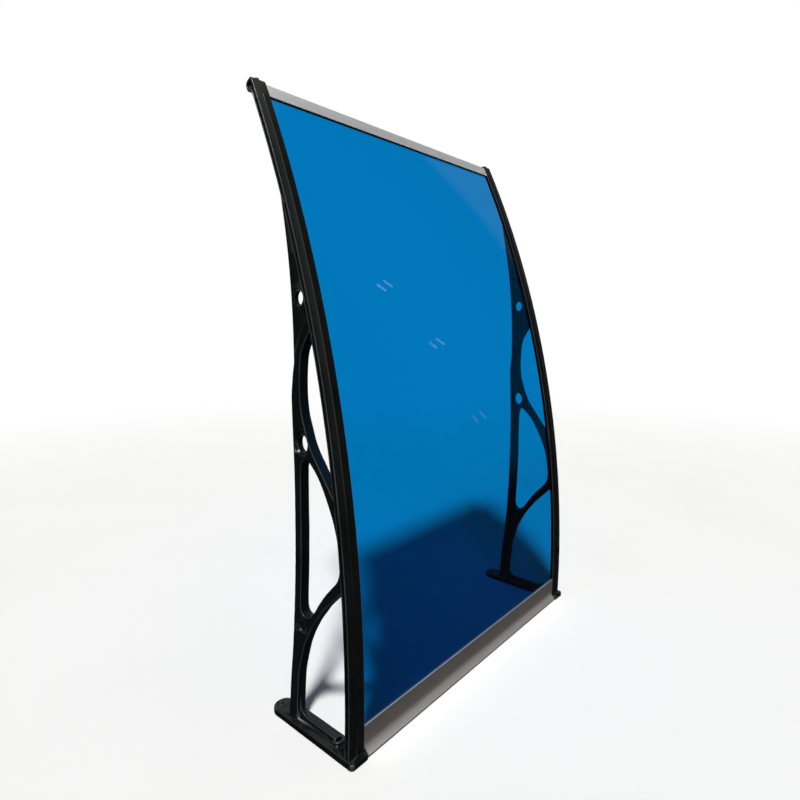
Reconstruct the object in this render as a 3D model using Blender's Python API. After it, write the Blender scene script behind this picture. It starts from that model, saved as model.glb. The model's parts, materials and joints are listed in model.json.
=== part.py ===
# Door canopy: a curved polycarbonate sheet held by two moulded brackets with an aluminium
# strip at the wall and one at the front edge.
# It stands on its two wall plates: +Z points away from the wall, X runs along the wall, and the
# arms bulge towards -Y, which is up once the canopy hangs on its wall.
import bpy
import bmesh
import math
import numpy
from mathutils import Matrix, Vector

# Sizes in metres
sheetWidth = 0.600
sheetThickness = 0.003
sheetPlay = 0.0025
seatGap = 0.0003

arcRadius = 2.0045
bellyHeight = 0.093
projection = 0.9522
flangeWidthWall = 0.0300
flangeWidthTip = 0.0250
flangeThickness = 0.0024
slotHeight = 0.0038
middleWeb = 0.0050
edgeRound = 0.0008
beadWidth = 0.0026
beadHeight = 0.0010
beadEndBelowTip = 0.025
nubRadius = 0.0035
nubHeight = 0.0006
nubSetback = 0.0012
nubDepth = 0.004

noseDepth = 0.0166
noseLength = 0.0247
noseWall = 0.0030
noseLip = 0.0098
noseInset = 0.0003
noseOverlap = 0.002
noseTopCorner = 0.003
noseCurl = 0.0085

ribThickness = 0.016
ribEdge = 0.0018
windowEdge = 0.0008
strutReach = 0.127
strutWidth = 0.0142
webThickness = 0.0045
webEdge = 0.0009
webLap = 0.0045
ringWidth = 0.0017
ringHeight = 0.0008
eyeHalfWidth = 0.0086
eyeHalfHeight = 0.0103
ventHalfWidth = 0.0094
ventHalfHeight = 0.0126
dimpleRadius = 0.0085
dimpleDepth = 0.0030

plateWidth = 0.034
plateThickness = 0.008
plateFront = 0.007
plateBack = 0.1765
plateCorner = 0.0055
plateEdge = 0.0015
plateHoleRadius = 0.00275
plateHoleFromEnd = 0.0110
bossCentre = 0.0368
bossHeight = 0.0075
bossWall = 0.0032
bossHoleWidth = 0.0064
bossHoleLength = 0.0118
finThickness = 0.0050
finHeight = 0.0064
finRise = 0.034
finBend = 0.016

stripWall = 0.0013
leafInset = 0.0002
frontFaceLength = 0.0186
frontPortRadius = 0.0037
backShort = 0.002
lipLength = 0.0012
frontTopBelowNose = 0.0085
rearLeafTop = 0.0440
rearTongueBottom = 0.0200
rearTongueHeight = 0.0080
rearKnee = 0.0106
rearToeReach = 0.0055
rearBaseBack = 0.0130
rearBaseLevel = 0.0022
frontSealShows = 0.0020
wallSealRecess = 0.0003

screwRadius = 0.00175
screwHoleRadius = 0.00205
screwHeadRadius = 0.0033
screwHeadHeight = 0.0020
frontScrewLength = 0.0170
rearScrewLength = 0.0060
rearScrewInset = 0.0085

# The strut's outer edge, from the arm down to the wall plate: (share of the projection,
# share of the reach behind the arm)
strutEdge = (
    (0.901, -0.016), (0.863, 0.036), (0.840, 0.069), (0.8175, 0.104), (0.782, 0.148),
    (0.735, 0.210), (0.688, 0.279), (0.641, 0.353), (0.594, 0.433), (0.551, 0.507),
    (0.525, 0.551), (0.486, 0.602), (0.438, 0.652), (0.389, 0.700), (0.339, 0.750),
    (0.289, 0.794), (0.237, 0.841), (0.185, 0.887), (0.131, 0.932), (0.075, 0.983),
    (0.046, 1.000), (0.000, 1.018))

# Points of the side view: (share of the projection, share of the way from the arm's back to the
# strut's outer edge), with True where a window keeps the strut's own width instead of a share
leafWindow = (
    (0.6196, 0.153), (0.6091, 0.322), (0.5992, 0.461), (0.5911, 0.554), (0.5818, 0.616),
    (0.5732, 0.652), (0.5552, 0.698), (0.5403, 0.718), (0.5237, 0.727), (0.5104, 0.723),
    (0.4946, 0.702), (0.4768, 0.643), (0.4579, 0.583), (0.440, 0.483), (0.4222, 0.353))
leafTop = 0.628
leafBottom = 0.369
middleWindow = (
    (0.432, 0.695), (0.4235, 0.798), (0.399, True), (0.321, True), (0.244, True),
    (0.205, True), (0.190, 0.846), (0.1855, 0.772), (0.191, 0.658), (0.215, 0.512),
    (0.237, 0.363), (0.252, 0.233), (0.2655, 0.122), (0.282, 0.071), (0.303, 0.072),
    (0.326, 0.081), (0.354, 0.142), (0.390, 0.290), (0.4085, 0.401), (0.4215, 0.522),
    (0.4295, 0.622))
footWindow = (
    (0.251, 0.052), (0.244, 0.121), (0.230, 0.251), (0.215, 0.386), (0.199, 0.496),
    (0.182, 0.603), (0.147, 0.754), (0.1175, 0.818), (0.089, 0.855), (0.050, 0.858))
footWindowTop = 0.254
webFoot = (
    (0.652, 0.000), (0.642, 0.157), (0.6205, 0.496), (0.602, 0.711), (0.582, 0.869),
    (0.5705, 0.893), (0.5585, 0.937), (0.546, 0.963), (0.5345, 0.984), (0.522, 1.000))
ventPocket = (
    (0.4353, 0.787), (0.4369, 0.701), (0.4421, 0.624), (0.4484, 0.583), (0.4547, 0.594),
    (0.461, 0.620), (0.4673, 0.648), (0.4731, 0.705), (0.4747, 0.780), (0.4715, 0.879),
    (0.4631, 0.943), (0.4537, 0.967), (0.4442, 0.958), (0.4379, 0.887))
eyePlace = (0.667, 0.540)
ventPlace = (0.4515, 0.787)
dimplePlace = (0.168, 0.836)

# Worked-out sizes
flangeInner = flangeThickness + slotHeight
armDepth = flangeInner + flangeThickness
bracketSpacing = sheetWidth + 2 * sheetPlay + middleWeb
sheetBottom = flangeInner - seatGap
sheetTop = sheetBottom - sheetThickness
arcSteps = 30
weldDistance = 0.00003
# Keeps two faces of joined solids from lying in one plane
offPlane = 0.0001
windowInFlange = armDepth - 0.45 * flangeThickness
slabInArm = flangeThickness + 0.18 * slotHeight
sealOuter = leafInset + stripWall + seatGap
sealInner = sheetTop - seatGap


def angleAt(height, depth=0.0):
    return math.asin((height - bellyHeight) / (arcRadius - depth))


def onArm(angle, depth):
    # A point of the arm's side view, as (y, z): depth is measured inwards from the outer face
    radius = arcRadius - depth
    return arcRadius - radius * math.cos(angle), bellyHeight + radius * math.sin(angle)


def armY(height, depth):
    return onArm(angleAt(height, depth), depth)[0]


noseTopAngle = angleAt(projection)
noseStartAngle = noseTopAngle - noseLength / arcRadius


def smoothCurve(points, steps, closed=False):
    # A curve through all the points, with the same tangent on both sides of each
    points = [numpy.array(point, float) for point in points]
    count = len(points)
    curve = []
    spans = count if closed else count - 1
    for i in range(spans):
        if closed:
            a, b, c, d = (points[(i + k) % count] for k in (-1, 0, 1, 2))
        else:
            b, c = points[i], points[i + 1]
            a = points[i - 1] if i > 0 else 2 * b - c
            d = points[i + 2] if i + 2 < count else 2 * c - b
        lengths = [max(float(numpy.linalg.norm(q - p)) ** 0.5, 1e-6) for p, q in ((a, b), (b, c), (c, d))]
        first = ((b - a) / lengths[0] - (c - a) / (lengths[0] + lengths[1])) * lengths[1] + (c - b)
        last = ((d - c) / lengths[2] - (d - b) / (lengths[1] + lengths[2])) * lengths[1] + (c - b)
        for k in range(steps):
            t = k / steps
            curve.append(b * (2 * t ** 3 - 3 * t ** 2 + 1) + first * (t ** 3 - 2 * t ** 2 + t)
                         + c * (3 * t ** 2 - 2 * t ** 3) + last * (t ** 3 - t ** 2))
    if not closed:
        curve.append(points[-1])
    return [tuple(point) for point in curve]


strutCurve = smoothCurve([(armY(share * projection, armDepth) + reach * strutReach, share * projection)
                          for share, reach in strutEdge], 2)


def strutY(height):
    rising = sorted((z, y) for y, z in strutCurve)
    return float(numpy.interp(height, [z for z, y in rising], [y for z, y in rising]))


def between(share, across):
    # A point of the side view between the arm's back and the strut's outer edge
    height = share * projection
    near, far = armY(height, armDepth), strutY(height)
    if across is True:
        return far - strutWidth, height
    return near + across * (far - near), height


def armRun(low, high, depth, count):
    # Points along the arm from one height to another
    first, last = angleAt(low, depth), angleAt(high, depth)
    return [onArm(first + (last - first) * k / count, depth) for k in range(count + 1)]


def circlePoints(centre, radius, count, start=0.0, end=2 * math.pi):
    full = abs(end - start) > 2 * math.pi - 1e-6
    steps = count if full else count - 1
    return [(centre[0] + radius * math.cos(start + (end - start) * k / steps),
             centre[1] + radius * math.sin(start + (end - start) * k / steps)) for k in range(count)]


def roundCorners(corners, steps=4):
    # A polygon whose corners (a, b, radius) are turned into arcs
    loop = []
    count = len(corners)
    for i in range(count):
        a, b, radius = corners[i]
        here = Vector((a, b))
        before = (Vector(corners[i - 1][:2]) - here).normalized()
        after = (Vector(corners[(i + 1) % count][:2]) - here).normalized()
        half = before.angle(after) / 2
        if radius <= 0:
            loop.append((a, b))
            continue
        room = 0.49 * min((Vector(corners[i - 1][:2]) - here).length,
                          (Vector(corners[(i + 1) % count][:2]) - here).length)
        cut = min(radius / math.tan(half), room)
        radius = cut * math.tan(half)
        middle = here + (before + after).normalized() * math.hypot(radius, cut)
        first = here + before * cut - middle
        last = here + after * cut - middle
        turn = first.angle_signed(last)
        for k in range(steps + 1):
            spoke = first.copy()
            spoke.rotate(Matrix.Rotation(-turn * k / steps, 2))
            loop.append(tuple(middle + spoke))
    return loop


def area(loop):
    return sum(a[0] * b[1] - b[0] * a[1] for a, b in zip(loop, loop[1:] + loop[:1])) / 2


def offsetLoop(loop, distance):
    # Moves a counter-clockwise loop inwards by the distance, or outwards where it is negative
    moved = []
    count = len(loop)
    for i in range(count):
        here = Vector(loop[i])
        before = (here - Vector(loop[i - 1])).normalized()
        after = (Vector(loop[(i + 1) % count]) - here).normalized()
        normal = Vector((-before.y - after.y, before.x + after.x)).normalized()
        stretch = min(1 / max(normal.dot(Vector((-after.y, after.x))), 0.1), 2.0)
        moved.append(tuple(here + normal * distance * stretch))
    return moved


def newObject(name, bm):
    bmesh.ops.recalc_face_normals(bm, faces=bm.faces)
    mesh = bpy.data.meshes.new(name)
    bm.to_mesh(mesh)
    bm.free()
    piece = bpy.data.objects.new(name, mesh)
    bpy.context.collection.objects.link(piece)
    return piece


def loft(name, rings):
    # Joins rings of points, all with the same count, and closes both ends
    bm = bmesh.new()
    rows = [[bm.verts.new(point) for point in ring] for ring in rings]
    for low, high in zip(rows, rows[1:]):
        for i in range(len(low)):
            j = (i + 1) % len(low)
            bm.faces.new((low[i], low[j], high[j], high[i]))
    bm.faces.new(rows[0])
    bm.faces.new(rows[-1])
    bmesh.ops.triangulate(bm, faces=[face for face in bm.faces if len(face.verts) > 4])
    return newObject(name, bm)


def slab(name, outline, holes, thickness, edge=0.0, holeEdge=0.0):
    # A flat moulding in the side view, centred on x = 0, with its edges and windows rounded
    outline = outline if area(outline) > 0 else outline[::-1]
    holes = [hole if area(hole) > 0 else hole[::-1] for hole in holes]
    half = thickness / 2

    def layersOf(round):
        if not edge:
            return [(-half, 0.0), (half, 0.0)]
        return [(-half, round), (-half + 0.3 * round, 0.3 * round), (-half + round, 0.0),
                (half - round, 0.0), (half - 0.3 * round, 0.3 * round), (half, round)]
    bm = bmesh.new()
    ends = ([], [])
    for loop, sign in [(outline, 1)] + [(hole, -1) for hole in holes]:
        rows = []
        for x, inset in layersOf(edge if sign > 0 else holeEdge):
            moved = offsetLoop(loop, sign * inset) if inset else loop
            rows.append([bm.verts.new((x, y, z)) for y, z in moved])
        for low, high in zip(rows, rows[1:]):
            for i in range(len(low)):
                j = (i + 1) % len(low)
                bm.faces.new((low[i], low[j], high[j], high[i]))
        for end, row in zip(ends, (rows[0], rows[-1])):
            end.extend(bm.edges.get((row[i], row[(i + 1) % len(row)])) for i in range(len(row)))
    for end in ends:
        bmesh.ops.triangle_fill(bm, edges=end, use_beauty=True, use_dissolve=False)
    return newObject(name, bm)


def upright(name, loop, low, high, edge=0.0):
    # An outline in plan, as (x, y), raised from low to high, with its top edge rounded
    loop = loop if area(loop) > 0 else loop[::-1]
    layers = [(low, 0.0), (high - edge, 0.0), (high - 0.3 * edge, 0.3 * edge), (high, edge)]
    if not edge:
        layers = [(low, 0.0), (high, 0.0)]
    return loft(name, [[(x, y, z) for x, y in (offsetLoop(loop, inset) if inset else loop)]
                       for z, inset in layers])


def lengthwise(name, profile, start, end):
    # A profile of the side view, as (y, z), drawn out along the wall
    return loft(name, [[(x, y, z) for y, z in profile] for x in (start, end)])


def spread(first, last, steps):
    return [first + (last - first) * k / steps for k in range(steps + 1)]


def alongArm(name, section, angles):
    # Sweeps a section along the arm; section(angle) gives its points as (x, depth)
    return loft(name, [[(x,) + onArm(angle, depth) for x, depth in section(angle)]
                       for angle in angles])


def weld(piece):
    # Merges points that the cuts left closer than the weld distance and closes the slits left there
    bm = bmesh.new()
    bm.from_mesh(piece.data)
    bmesh.ops.remove_doubles(bm, verts=bm.verts, dist=weldDistance)
    bmesh.ops.dissolve_degenerate(bm, edges=bm.edges, dist=weldDistance / 10)
    bmesh.ops.holes_fill(bm, edges=[edge for edge in bm.edges if edge.is_boundary], sides=6)
    bm.to_mesh(piece.data)
    bm.free()


def combine(target, others, operation):
    # Joins other solids to the target or takes them from it
    for other in others:
        modifier = target.modifiers.new(operation.lower(), "BOOLEAN")
        modifier.object = other
        modifier.operation = operation
        modifier.solver = "EXACT"
        view = bpy.context.evaluated_depsgraph_get()
        mesh = bpy.data.meshes.new_from_object(target.evaluated_get(view))
        target.modifiers.clear()
        old = target.data
        target.data = mesh
        bpy.data.meshes.remove(old)
        bpy.data.objects.remove(other)
    weld(target)
    return target


def flangeWidth(angle):
    share = (angle - angleAt(0.0)) / (noseTopAngle - angleAt(0.0))
    return flangeWidthWall + (flangeWidthTip - flangeWidthWall) * share


def armBar():
    # The arm as a solid bar with its raised centre line, before its sheet slots are cut
    beadEnd = noseTopAngle - beadEndBelowTip / arcRadius
    fade = 3 * beadHeight / arcRadius

    def section(angle):
        half = flangeWidth(angle) / 2
        crown = (0.0, -beadHeight * min(max((beadEnd - angle) / fade, 0.0), 1.0))
        face = roundCorners([(-half, 0, edgeRound), (half, 0, edgeRound),
                             (half, armDepth, edgeRound), (-half, armDepth, edgeRound)], 2)
        bead = [(-beadWidth / 2, 0.0), (-beadWidth / 4, crown[1]),
                (beadWidth / 4, crown[1]), (beadWidth / 2, 0.0)]
        return face[:3] + bead + face[3:]
    top = noseTopAngle - noseWall / arcRadius
    angles = spread(angleAt(0.6 * plateThickness), top, arcSteps) + [beadEnd - fade, beadEnd]
    bar = alongArm("arm", section, sorted(angles))
    return combine(bar, [nose(), nub()], "UNION")


def noseOutline(inset):
    # The curled tip in the side view, from the flange's face over the top to the lip behind
    def place(along, depth):
        return onArm(noseStartAngle + along / arcRadius, depth)
    top = noseLength - inset
    bottom = noseDepth - inset
    if not inset:
        corners = [(-noseOverlap, noseInset, 0), (top, noseInset, noseTopCorner),
                   (top - nubRadius / 4, bottom, noseCurl), (noseLip, bottom, noseTopCorner),
                   (noseOverlap, armDepth - flangeThickness / 2, 0),
                   (-noseOverlap, armDepth - flangeThickness / 2, 0)]
    else:
        near, far = flangeThickness + offPlane, flangeInner - offPlane
        corners = [(2 * noseOverlap, near, 0), (top, near, noseTopCorner - noseWall / 3),
                   (top - nubRadius / 4, bottom, noseCurl - noseWall),
                   (noseLip + inset, bottom, noseTopCorner - noseWall / 2),
                   (noseLip + inset, far, 0), (2 * noseOverlap, far, 0)]
    return [place(along, depth) for along, depth in roundCorners(corners, 5)]


def nose():
    return slab("nose", noseOutline(0.0), [], flangeWidthTip - 2 * noseInset, edgeRound)


def nub():
    # The small round end of the moulding at the very tip
    y, z = onArm(noseTopAngle - nubSetback / arcRadius, nubDepth)
    ring = circlePoints((0.0, y), nubRadius, 16)
    return upright("nub", ring, z - noseWall, projection + nubHeight, edgeRound)


def ribSlab():
    # The full-depth part: the strut and the ribs round its three windows
    low = plateThickness / 4
    top = webFoot[0][0] * projection
    inArm = armRun(low, top, slabInArm, 12)
    step = smoothCurve([between(*point) for point in webFoot], 2)
    edge = [point for point in strutCurve if 6 * low < point[1] < step[-1][1] - ribEdge]
    windowFoot = 0.8 * plateThickness
    leaf = smoothCurve([(armY(leafTop * projection, windowInFlange), leafTop * projection)]
                       + [between(*point) for point in leafWindow]
                       + [(armY(leafBottom * projection, windowInFlange), leafBottom * projection)], 3)
    leaf += armRun(leafBottom * projection, leafTop * projection, windowInFlange, 8)[1:-1]
    middle = smoothCurve([between(*point) for point in middleWindow], 2, closed=True)
    foot = smoothCurve([(armY(footWindowTop * projection, windowInFlange), footWindowTop * projection)]
                       + [between(*point) for point in footWindow]
                       + [(between(0.02, footWindow[-1][1])[0], windowFoot)], 3)
    foot += armRun(windowFoot, footWindowTop * projection, windowInFlange, 8)[:-1]
    return slab("ribs", inArm + step + edge + [(strutY(0.0), low)], [leaf, middle, foot],
                ribThickness, ribEdge, windowEdge)


def webSlab():
    # The thin part above the windows, which runs a little way into the ribs
    top = strutEdge[0][0] * projection
    inRibs = [between(share - webLap / projection, across - across * webLap / strutWidth / 5)
              for share, across in webFoot[1:]]
    edge = [point for point in strutCurve if point[1] > webFoot[-1][0] * projection]
    inArm = armRun(webFoot[0][0] * projection - webLap / 2, top, slabInArm + 2 * offPlane, 8)
    web = slab("web", inArm + edge + inRibs[::-1], [], webThickness, webEdge)
    return combine(web, [raisedRing(eyePlace, eyeHalfWidth, eyeHalfHeight)], "UNION")


def sideOval(name, centre, halfWidth, halfHeight, thickness, count=30, x=0.0):
    loop = [(centre[0] + halfWidth * y, centre[1] + halfHeight * z)
            for y, z in circlePoints((0.0, 0.0), 1.0, count)]
    piece = slab(name, loop, [], thickness)
    piece.data.transform(Matrix.Translation((x, 0, 0)))
    return piece


def raisedRing(place, halfWidth, halfHeight):
    return sideOval("ring", between(*place), halfWidth + ringWidth, halfHeight + ringWidth,
                    webThickness + 2 * ringHeight)


def ventPockets():
    # Laid bare from both sides, the thin web goes on round the hole between two of the windows
    loop = smoothCurve([between(*point) for point in ventPocket], 2, closed=True)
    pockets = []
    for side in (-1, 1):
        pocket = slab("pocket", loop, [], ribThickness)
        pocket.data.transform(Matrix.Translation((side * (webThickness + ribThickness) / 2, 0, 0)))
        pockets.append(pocket)
    return pockets


def slots():
    # The grooves that hold the sheet, one on each side of the middle web
    cutters = []
    for side in (-1, 1):
        def section(angle):
            inner, outer = side * middleWeb / 2, side * flangeWidthWall
            return [(inner, flangeThickness), (outer, flangeThickness),
                    (outer, flangeInner), (inner, flangeInner)]
        top = noseStartAngle + (noseLip + 1.6 * noseWall) / arcRadius
        angles = spread(angleAt(1.12 * plateThickness), top, arcSteps)
        cutters.append(alongArm("slot", section, angles))
    return cutters


def nosePockets():
    cutters = []
    for side in (-1, 1):
        pocket = slab("nosePocket", noseOutline(noseWall), [], flangeWidthTip)
        pocket.data.transform(Matrix.Translation((side * (middleWeb + flangeWidthTip) / 2, 0, 0)))
        cutters.append(pocket)
    return cutters


def frontPort():
    # Where the front strip's screw port lies, as an angle along the arm and a depth
    angle = noseStartAngle + (noseLip + noseLength) / 2 / arcRadius
    return angle, (flangeThickness + noseDepth - noseWall) / 2


def rearScrewAxis():
    return angleAt(rearTongueBottom + rearTongueHeight / 2, flangeInner)


def barAcrossArm(name, radius, angle, nearDepth, farDepth, x, count=16):
    # A round bar that points into the arm, at right angles to its face
    rings = []
    for depth in (nearDepth, farDepth):
        y, z = onArm(angle, depth)
        ring = []
        for k in range(count):
            turn = 2 * math.pi * k / count
            along = radius * math.sin(turn)
            ring.append((x + radius * math.cos(turn),
                         y + along * math.sin(angle), z + along * math.cos(angle)))
        rings.append(ring)
    return loft(name, rings)


def wallPlate():
    half = plateWidth / 2
    outline = roundCorners([(-half, -plateFront, plateCorner), (half, -plateFront, plateCorner),
                            (half, plateBack, half), (-half, plateBack, half)], 8)
    plate = upright("plate", outline, 0.0, plateThickness, plateEdge)
    reach = bossHoleLength / 2 + bossWall
    across = bossHoleWidth / 2 + bossWall

    def obround(length, width):
        run = length - width
        right = circlePoints((run, bossCentre), width, 9, -math.pi / 2, math.pi / 2)
        left = circlePoints((-run, bossCentre), width, 9, math.pi / 2, 3 * math.pi / 2)
        return right + left
    boss = upright("boss", obround(reach, across), plateThickness / 2,
                   plateThickness + bossHeight, edgeRound)
    foot = between(*footWindow[-1])[0]
    top = plateThickness + finHeight
    finOutline = roundCorners([
        (bossCentre, plateThickness / 2, 0), (foot + strutWidth / 2, plateThickness / 2, 0),
        (foot + strutWidth / 2, top + finRise, 0), (foot + edgeRound, top + finRise, 0),
        (foot - edgeRound, top, finBend), (bossCentre, top, 0)], 6)
    fin = slab("fin", finOutline, [], finThickness, edgeRound)
    slot = upright("slot", obround(bossHoleLength / 2, bossHoleWidth / 2), -plateThickness, 4 * plateThickness)
    hole = upright("hole", circlePoints((0.0, plateBack - plateHoleFromEnd), plateHoleRadius, 18),
                   -plateThickness, 2 * plateThickness)
    return combine(plate, [boss, fin], "UNION"), [slot, hole]


def bracket():
    arm = armBar()
    combine(arm, [ribSlab(), webSlab()], "UNION")
    combine(arm, ventPockets(), "DIFFERENCE")
    combine(arm, [raisedRing(ventPlace, ventHalfWidth, ventHalfHeight)], "UNION")
    cutters = [sideOval("eye", between(*eyePlace), eyeHalfWidth, eyeHalfHeight, 2 * ribThickness),
               sideOval("vent", between(*ventPlace), ventHalfWidth, ventHalfHeight, 2 * ribThickness)]
    dimple = between(*dimplePlace)
    for side in (-1, 1):
        cutters.append(sideOval("dimple", dimple, dimpleRadius, dimpleRadius, 2 * dimpleDepth,
                                x=side * ribThickness / 2))
    combine(arm, cutters, "DIFFERENCE")
    combine(arm, slots() + nosePockets(), "DIFFERENCE")
    plate, holes = wallPlate()
    combine(arm, [plate], "UNION")
    centre = onArm(*frontPort())
    holes.append(sideOval("frontHole", centre, screwHoleRadius, screwHoleRadius, 2 * middleWeb, 16))
    for side in (-1, 1):
        holes.append(barAcrossArm("rearHole", screwHoleRadius, rearScrewAxis(), flangeInner - beadHeight,
                                  armDepth + flangeThickness, side * rearScrewInset))
    return combine(arm, holes, "DIFFERENCE")


def band(name, halfWidth, nearDepth, farDepth, firstAngle, lastAngle, steps):
    # A curved strip of sheet or rubber that follows the arm
    def section(angle):
        return [(-halfWidth, nearDepth), (halfWidth, nearDepth),
                (halfWidth, farDepth), (-halfWidth, farDepth)]
    return alongArm(name, section, spread(firstAngle, lastAngle, steps))


def betweenFlanges(angle):
    # Half the clear length between the two arms' flanges, less the seat gap
    return bracketSpacing / 2 - flangeWidth(angle) / 2 - seatGap


portHalf = bracketSpacing / 2 - middleWeb / 2 - seatGap
frontPortAngle, frontPortDepth = frontPort()
frontFaceTop = noseTopAngle - frontTopBelowNose / arcRadius
frontFaceBottom = frontFaceTop - frontFaceLength / arcRadius
frontSheetEnd = frontPortAngle - (frontPortRadius + seatGap) / arcRadius
rearSheetEnd = angleAt(rearTongueBottom + rearTongueHeight + seatGap)


def frontStrip():
    half = betweenFlanges(frontFaceBottom)
    inner = sheetBottom + seatGap
    strip = band("front_strip", half, leafInset, leafInset + stripWall,
                 frontFaceBottom, frontFaceTop, 2)
    back = band("back", half, inner, inner + stripWall,
                frontFaceBottom + backShort / arcRadius, frontFaceTop, 2)
    cap = band("cap", half, leafInset + stripWall / 2, inner + stripWall / 2,
               frontPortAngle + stripWall / arcRadius, frontFaceTop - offPlane / arcRadius, 1)
    centre = onArm(frontPortAngle, frontPortDepth)
    port = lengthwise("port", circlePoints(centre, frontPortRadius, 20), -portHalf, portHalf)
    combine(strip, [back, cap, port], "UNION")
    bores = []
    for side in (-1, 1):
        bore = lengthwise("bore", circlePoints(centre, screwHoleRadius, 16),
                          side * (portHalf - frontScrewLength), side * (portHalf + middleWeb))
        bores.append(bore)
    return combine(strip, bores, "DIFFERENCE")


def rearStrip():
    over = plateThickness + seatGap
    half = betweenFlanges(angleAt(0.0))
    baseHalf = bracketSpacing / 2 - plateWidth / 2 - seatGap
    leafAngle = angleAt(rearLeafTop)
    inner = sheetBottom + seatGap
    strip = band("rear_strip", half, leafInset, leafInset + stripWall, angleAt(over), leafAngle, 2)
    back = band("back", half, inner, inner + stripWall, angleAt(over),
                leafAngle - backShort / arcRadius, 2)
    lip = band("lip", half, leafInset + stripWall / 2, sealInner, leafAngle - lipLength / arcRadius,
               leafAngle - offPlane / arcRadius, 1)
    innerSkirt = band("skirt", baseHalf, inner, inner + stripWall,
                      angleAt(rearBaseLevel + stripWall / 2), angleAt(over + stripWall), 1)
    knee = armY(rearKnee, leafInset + offPlane)
    shoulder = rearKnee + 2 * stripWall
    base = lengthwise("base", [(armY(shoulder, leafInset + offPlane), shoulder), (knee, rearKnee),
                               (-rearToeReach, rearBaseLevel + stripWall / 2),
                               (-rearToeReach + stripWall / 3, rearBaseLevel),
                               (rearBaseBack, rearBaseLevel), (rearBaseBack, rearBaseLevel + stripWall),
                               (-rearToeReach + 2.2 * stripWall, rearBaseLevel + stripWall),
                               (knee + 0.9 * stripWall, rearKnee - 0.4 * stripWall),
                               (knee + 0.9 * stripWall, shoulder)], -baseHalf, baseHalf)
    low, high = angleAt(rearTongueBottom), angleAt(rearTongueBottom + rearTongueHeight)
    web = band("web", half - stripWall, stripWall, inner + stripWall / 2, low, high, 1)
    tongue = band("tongue", portHalf, flangeThickness + seatGap, sheetBottom,
                  low + seatGap / arcRadius, high - seatGap / arcRadius, 1)
    combine(strip, [innerSkirt, back, lip, base, web, tongue], "UNION")
    holes = []
    for side in (-1, 1):
        x = side * (bracketSpacing / 2 - rearScrewInset)
        holes.append(barAcrossArm("rearHole", screwHoleRadius, rearScrewAxis(), flangeThickness,
                                  flangeInner, x))
    return combine(strip, holes, "DIFFERENCE")


def frontSeal():
    return band("front_seal", betweenFlanges(frontFaceBottom), sealOuter, sealInner,
                frontFaceBottom - frontSealShows / arcRadius,
                frontPortAngle - (frontPortRadius + 2 * seatGap) / arcRadius, 2)


def rearSeal():
    return band("rear_seal", betweenFlanges(angleAt(0.0)), sealOuter, sealInner,
                rearSheetEnd + seatGap / arcRadius, angleAt(rearLeafTop - lipLength - seatGap), 2)


def wallSeal():
    # The rubber strip between the rear strip's base and the wall
    half = bracketSpacing / 2 - plateWidth / 2 - seatGap
    front, back = -rearToeReach + wallSealRecess, rearBaseBack - wallSealRecess
    high = rearBaseLevel - seatGap
    bevel = high / 3
    profile = [(front + bevel, 0.0), (back - bevel, 0.0), (back, high / 2), (back, high),
               (front, high), (front, high / 2)]
    return lengthwise("wall_seal", profile, -half, half)


def roofSheet():
    return band("roof_sheet", sheetWidth / 2, sheetTop, sheetBottom, rearSheetEnd, frontSheetEnd, arcSteps)


def screwAlongX(name, side):
    # A self-tapping screw from the bracket's outer side through its web into the strip's port
    x = side * (bracketSpacing / 2 + middleWeb / 2 + seatGap)
    centre = onArm(frontPortAngle, frontPortDepth)
    rings = []
    for offset, radius in ((screwHeadHeight, 0.75 * screwHeadRadius),
                           (0.6 * screwHeadHeight, screwHeadRadius), (0.0, screwHeadRadius),
                           (0.0, screwRadius), (-0.85 * frontScrewLength, screwRadius),
                           (-frontScrewLength, 0.4 * screwRadius)):
        rings.append([(x + side * offset, y, z) for y, z in circlePoints(centre, radius, 18)])
    return loft(name, rings)


def screwAcrossArm(name, side):
    # A self-tapping screw through the arm's lower flange into the rear strip's tongue
    x = side * (bracketSpacing / 2 - rearScrewInset)
    angle = rearScrewAxis()
    seat = armDepth + seatGap
    rings = []
    for depth, radius in ((seat + screwHeadHeight, 0.75 * screwHeadRadius),
                          (seat + 0.4 * screwHeadHeight, screwHeadRadius), (seat, screwHeadRadius),
                          (seat, screwRadius), (seat - 0.8 * rearScrewLength, screwRadius),
                          (seat - rearScrewLength, 0.4 * screwRadius)):
        y, z = onArm(angle, depth)
        rings.append([(x + across, y + along * math.sin(angle), z + along * math.cos(angle))
                      for across, along in circlePoints((0.0, 0.0), radius, 18)])
    return loft(name, rings)


def material(name, colour, roughness, metallic=0.0, alpha=1.0):
    made = bpy.data.materials.new(name)
    made.use_nodes = True
    shader = made.node_tree.nodes["Principled BSDF"]
    shader.inputs["Base Color"].default_value = (*colour, 1.0)
    shader.inputs["Roughness"].default_value = roughness
    shader.inputs["Metallic"].default_value = metallic
    shader.inputs["Alpha"].default_value = alpha
    made.diffuse_color = (*colour, alpha)
    return made


def finish(piece, look, offset=0.0):
    piece.data.transform(Matrix.Translation((offset, 0, 0)))
    piece.data.materials.clear()
    piece.data.materials.append(look)
    piece.data.shade_smooth()
    piece.data.set_sharp_from_angle(angle=math.radians(32))


def centreOverOrigin(pieces):
    # Puts the middle of the whole object's footprint over the origin
    depths = [corner[1] for piece in pieces for corner in piece.bound_box]
    shift = Matrix.Translation((0, -(min(depths) + max(depths)) / 2, 0))
    for piece in pieces:
        piece.data.transform(shift)


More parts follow.
